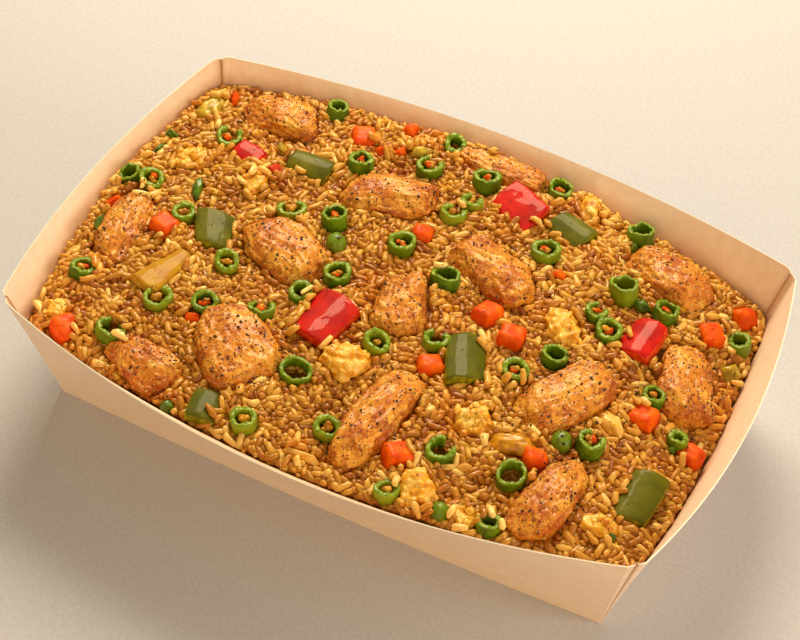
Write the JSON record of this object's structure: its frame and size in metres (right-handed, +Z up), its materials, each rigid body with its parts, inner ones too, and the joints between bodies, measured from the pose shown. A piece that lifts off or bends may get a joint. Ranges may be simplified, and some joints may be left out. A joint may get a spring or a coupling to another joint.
{
  "type": "chicken fried rice in a paperboard tray",
  "caption": "An open paperboard tray with bowed sides, filled with a low heap of fried rice topped with chicken, peppers, carrot, egg and rings of green onion.",
  "frame": {"origin": "The middle of the tray's flat base, on the surface that it stands on.", "axes": "+X runs along the tray's long side, +Y across it, and +Z up."},
  "size_m": [0.2594, 0.1902, 0.0576],
  "materials": {
    "paperboard": "white food-grade paperboard, uncoated and matte, warmed by what it stands on",
    "rice": "fried rice, golden beige, lightly oiled",
    "chicken": "seared chicken, pale with browned ridges and black pepper, lightly oiled",
    "red_pepper": "cooked red pepper with a glossy skin",
    "green_pepper": "cooked green pepper with a glossy skin",
    "yellow_pepper": "cooked yellow pepper with a glossy skin",
    "carrot": "cooked carrot, moist",
    "egg": "scrambled egg, soft and uneven",
    "green_onion": "cut green onion and peas, moist"
  },
  "bodies": {
    "root": {"tray": "paperboard", "rice": "rice", "chicken_01": "chicken", "chicken_02": "chicken", "chicken_03": "chicken", "chicken_04": "chicken", "chicken_05": "chicken", "chicken_06": "chicken", "chicken_07": "chicken", "chicken_08": "chicken", "chicken_09": "chicken", "chicken_10": "chicken", "chicken_11": "chicken", "chicken_12": "chicken", "chicken_13": "chicken", "chicken_14": "chicken", "red_pepper_1": "red_pepper", "red_pepper_2": "red_pepper", "red_pepper_3": "red_pepper", "red_pepper_4": "red_pepper", "green_pepper_1": "green_pepper", "green_pepper_2": "green_pepper", "green_pepper_3": "green_pepper", "green_pepper_4": "green_pepper", "green_pepper_5": "green_pepper", "green_pepper_6": "green_pepper", "yellow_pepper_1": "yellow_pepper", "carrot_01": "carrot", "carrot_02": "carrot", "carrot_03": "carrot", "carrot_04": "carrot", "carrot_05": "carrot", "carrot_06": "carrot", "carrot_07": "carrot", "carrot_08": "carrot", "carrot_09": "carrot", "carrot_10": "carrot", "carrot_11": "carrot", "carrot_12": "carrot", "carrot_round_end": "carrot", "egg_1": "egg", "egg_2": "egg", "egg_3": "egg", "green_onion_01": "green_onion", "green_onion_02": "green_onion", "green_onion_03": "green_onion", "green_onion_04": "green_onion", "green_onion_05": "green_onion", "green_onion_06": "green_onion", "green_onion_07": "green_onion", "green_onion_08": "green_onion", "green_onion_09": "green_onion", "green_onion_10": "green_onion", "green_onion_11": "green_onion", "green_onion_12": "green_onion", "green_onion_13": "green_onion", "green_onion_14": "green_onion", "green_onion_15": "green_onion", "pea_1": "green_onion", "pea_2": "green_onion"}
  },
  "joints": []
}
